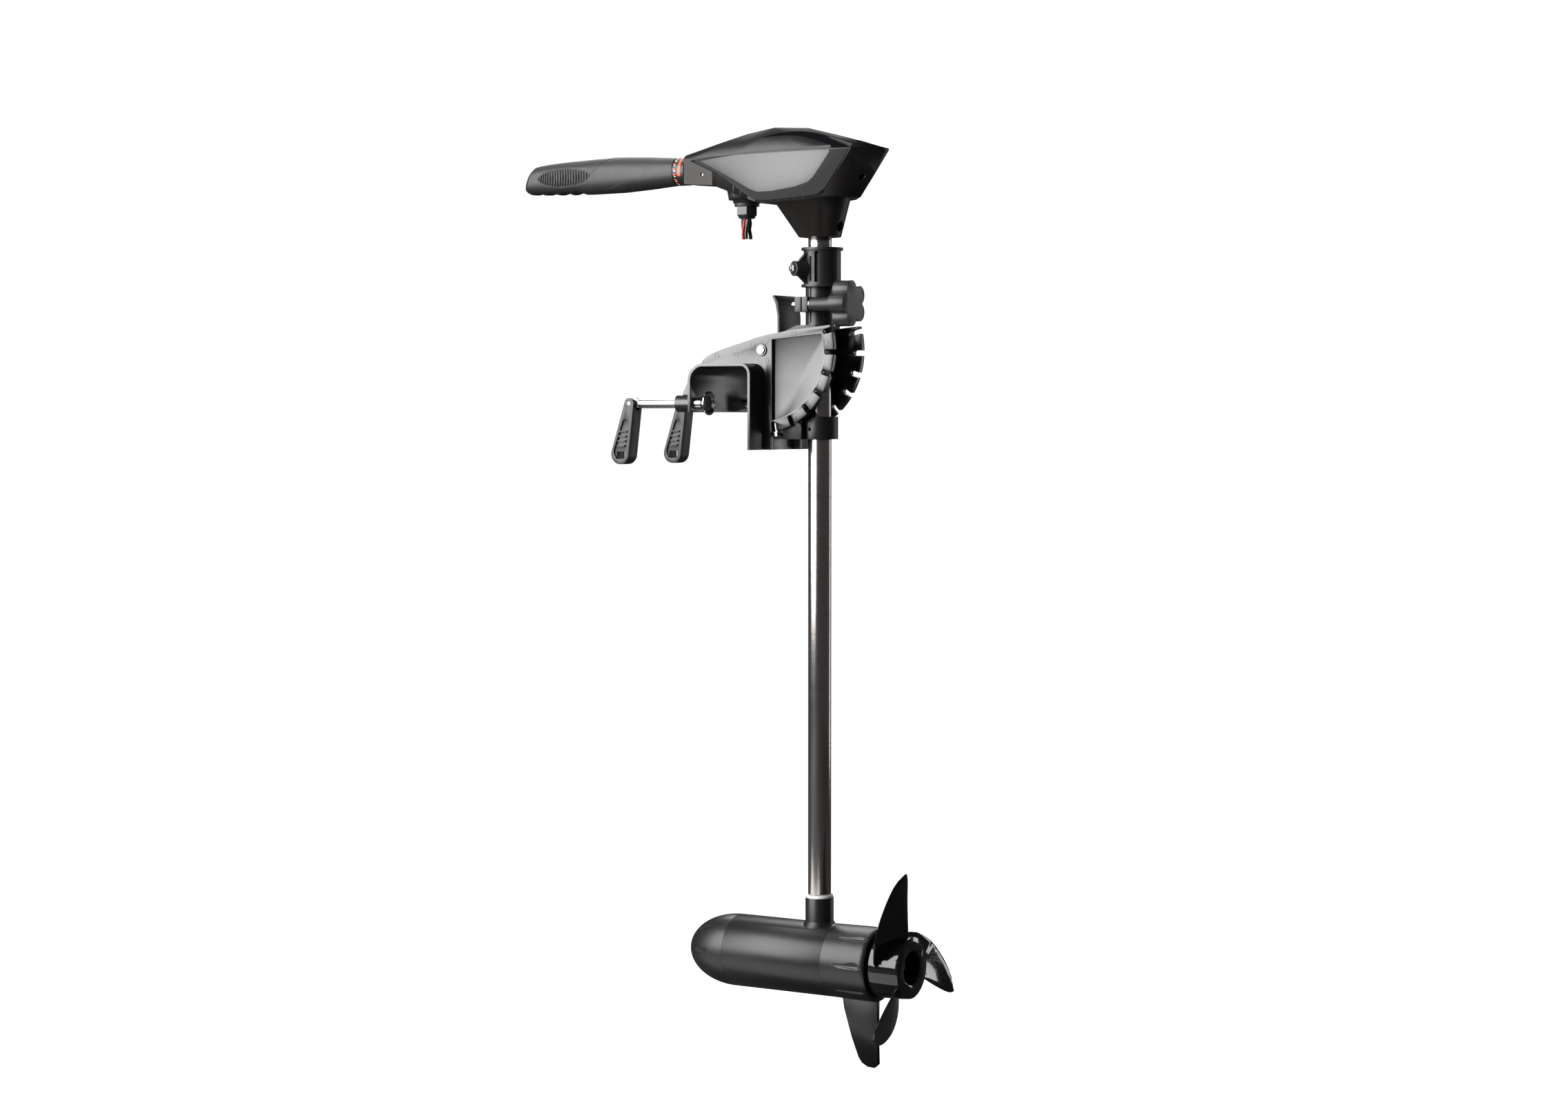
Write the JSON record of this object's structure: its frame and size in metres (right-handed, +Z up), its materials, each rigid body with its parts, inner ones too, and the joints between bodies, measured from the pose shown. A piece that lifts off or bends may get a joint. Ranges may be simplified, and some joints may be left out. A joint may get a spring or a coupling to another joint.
{
  "type": "electric trolling motor",
  "caption": "Transom-mount electric trolling motor: screw clamp, tilting swivel bracket, steering shaft with depth collar, twist-grip tiller head and propeller pod.",
  "frame": {"origin": "middle of the transom seat, under the clamp hook, on the boat's middle plane", "axes": "+Z up along the upright shaft, +X aft away from the boat towards the propeller, -Y port, the side the steering tension knob is on"},
  "size_m": [0.5676, 0.2047, 1.1505],
  "materials": {
    "bracket_plastic": "fine moulded texture, satin where polished",
    "handle_plastic": "moulded grain",
    "swivel_plastic": "moulded grain",
    "lever_plastic": "moulded grain",
    "knob_plastic": "moulded grain",
    "collar_plastic": "moulded grain",
    "shell_plastic": "satin",
    "cover_plastic": "satin",
    "panel_silver": "metallic grey",
    "trim_gloss": "gloss",
    "scale_plastic": "printed marks",
    "switch_plastic": "plain",
    "grip_rubber": "ribbed, soft touch",
    "gland_rubber": "plain",
    "gland_nut_plastic": "satin",
    "wire_rubber": "plain",
    "bush_nylon": "natural nylon",
    "seal_white": "natural",
    "red_lead": "satin",
    "black_lead": "satin",
    "zinc_steel": "zinc plated",
    "chrome_steel": "bright plated",
    "spring_steel": "blackened",
    "bearing_steel": "ground",
    "shaft_steel": "brushed stainless",
    "brass": "turned",
    "tube_aluminium": "anodised",
    "motor_paint": "powder coat, fine texture",
    "skeg_plastic": "moulded grain",
    "magnet_ferrite": "sintered",
    "core_iron": "varnished laminations",
    "brush_board": "laminate",
    "propeller_gloss": "gloss moulding"
  },
  "bodies": {
    "clamp": {"clamp_bracket": "bracket_plastic", "tilt_pivot_pin": "zinc_steel", "pivot_pin_clips": "spring_steel", "screw_inserts": "brass"},
    "port_pad": {"port_clamp_pad": "chrome_steel"},
    "port_screw": {"port_clamp_screw": "zinc_steel"},
    "port_handle": {"port_clamp_handle": "handle_plastic", "port_handle_pin": "zinc_steel"},
    "starboard_pad": {"starboard_clamp_pad": "chrome_steel"},
    "starboard_screw": {"starboard_clamp_screw": "zinc_steel"},
    "starboard_handle": {"starboard_clamp_handle": "handle_plastic", "starboard_handle_pin": "zinc_steel"},
    "swivel": {"swivel_bracket": "swivel_plastic", "pivot_bushes": "bush_nylon", "upper_steering_bush": "bush_nylon", "lower_steering_bush": "bush_nylon", "tension_nut": "zinc_steel"},
    "tilt_lock": {"release_lever": "lever_plastic", "tilt_lock_bar": "zinc_steel"},
    "washer": {"tension_washer": "zinc_steel"},
    "tension_knob": {"star_knob": "knob_plastic", "tension_screw": "zinc_steel"},
    "collar": {"depth_collar": "collar_plastic", "collar_screw": "zinc_steel"},
    "power_unit": {"shaft_tube": "shaft_steel", "motor_wires": "wire_rubber", "head_lower_shell": "shell_plastic", "head_upper_cover": "cover_plastic", "side_panels": "panel_silver", "side_trims": "trim_gloss", "cover_screws": "zinc_steel", "head_screw": "zinc_steel", "speed_switch": "switch_plastic", "tiller_bush": "bush_nylon", "cable_gland": "gland_rubber", "gland_nut": "gland_nut_plastic", "red_battery_lead": "red_lead", "black_battery_lead": "black_lead", "second_black_lead": "black_lead", "third_black_lead": "black_lead", "shaft_seal_ring": "seal_white", "motor_housing": "motor_paint", "nose_cone": "motor_paint", "rear_bell": "motor_paint", "skeg": "skeg_plastic", "field_magnets": "magnet_ferrite", "motor_bearings": "bearing_steel", "prop_shaft_seal": "wire_rubber", "brush_plate": "brush_board", "housing_o_rings": "wire_rubber", "through_bolts": "zinc_steel"},
    "throttle": {"throttle_tube": "tube_aluminium", "scale_ring": "scale_plastic"},
    "grip": {"tiller_grip": "grip_rubber"},
    "screw_propeller": {"propeller": "propeller_gloss", "prop_nut": "zinc_steel", "drive_pin": "zinc_steel", "armature_shaft": "bearing_steel", "armature_core": "core_iron"}
  },
  "joints": [
    {"name": "port_pad_slide", "type": "slide", "parent": "clamp", "child": "port_pad", "axis": [1, 0, 0], "range_m": [-0.0101, 0.0541]},
    {"name": "port_screw_turn", "type": "hinge", "parent": "port_pad", "child": "port_screw", "pos_m": [-0.05, -0.06, -0.045], "axis": [1, 0, 0], "range_deg": [-1800, 9720]},
    {"name": "port_handle_fold", "type": "hinge", "parent": "port_screw", "child": "port_handle", "pos_m": [-0.134, -0.06, -0.045], "axis": [0, 1, 0], "range_deg": [0, 90]},
    {"name": "starboard_pad_slide", "type": "slide", "parent": "clamp", "child": "starboard_pad", "axis": [1, 0, 0], "range_m": [-0.0101, 0.0541]},
    {"name": "starboard_screw_turn", "type": "hinge", "parent": "starboard_pad", "child": "starboard_screw", "pos_m": [-0.05, 0.06, -0.045], "axis": [1, 0, 0], "range_deg": [-1800, 9720]},
    {"name": "starboard_handle_fold", "type": "hinge", "parent": "starboard_screw", "child": "starboard_handle", "pos_m": [-0.134, 0.06, -0.045], "axis": [0, 1, 0], "range_deg": [0, 90]},
    {"name": "tilt", "type": "hinge", "parent": "clamp", "child": "swivel", "pos_m": [0.041, 0, 0.02], "axis": [0, -1, 0], "range_deg": [0, 93]},
    {"name": "tilt_lock_slide", "type": "slide", "parent": "swivel", "child": "tilt_lock", "axis": [-0.1822, 0, 0.9833], "range_m": [0, 0.013]},
    {"name": "washer_slide", "type": "slide", "parent": "swivel", "child": "washer", "axis": [1, 0, 0], "range_m": [0, 0.0031]},
    {"name": "tension_knob_turn", "type": "hinge", "parent": "washer", "child": "tension_knob", "pos_m": [0.12, -0.031, 0.075], "axis": [1, 0, 0], "range_deg": [0, 1080]},
    {"name": "steering", "type": "hinge", "parent": "swivel", "child": "collar", "pos_m": [0.101, 0, 0.12], "axis": [0, 0, 1], "continuous": true},
    {"name": "depth_slide", "type": "slide", "parent": "collar", "child": "power_unit", "axis": [0, 0, 1], "range_m": [-0.012, 0.5]},
    {"name": "throttle_twist", "type": "hinge", "parent": "power_unit", "child": "throttle", "pos_m": [-0.1, 0, 0.246], "axis": [1, 0, 0], "range_deg": [-117, 195]},
    {"name": "grip_extend", "type": "slide", "parent": "throttle", "child": "grip", "axis": [-1, 0, 0], "range_m": [0, 0.15]},
    {"name": "propeller_spin", "type": "hinge", "parent": "power_unit", "child": "screw_propeller", "pos_m": [0.2, 0, -0.731], "axis": [1, 0, 0], "continuous": true}
  ],
  "couplings": [
    {"joint": "port_pad_slide", "follows": "port_screw_turn", "m_per_rad": 0.00031831},
    {"joint": "starboard_pad_slide", "follows": "starboard_screw_turn", "m_per_rad": 0.00031831},
    {"joint": "washer_slide", "follows": "tension_knob_turn", "m_per_rad": 0.00015915}
  ]
}
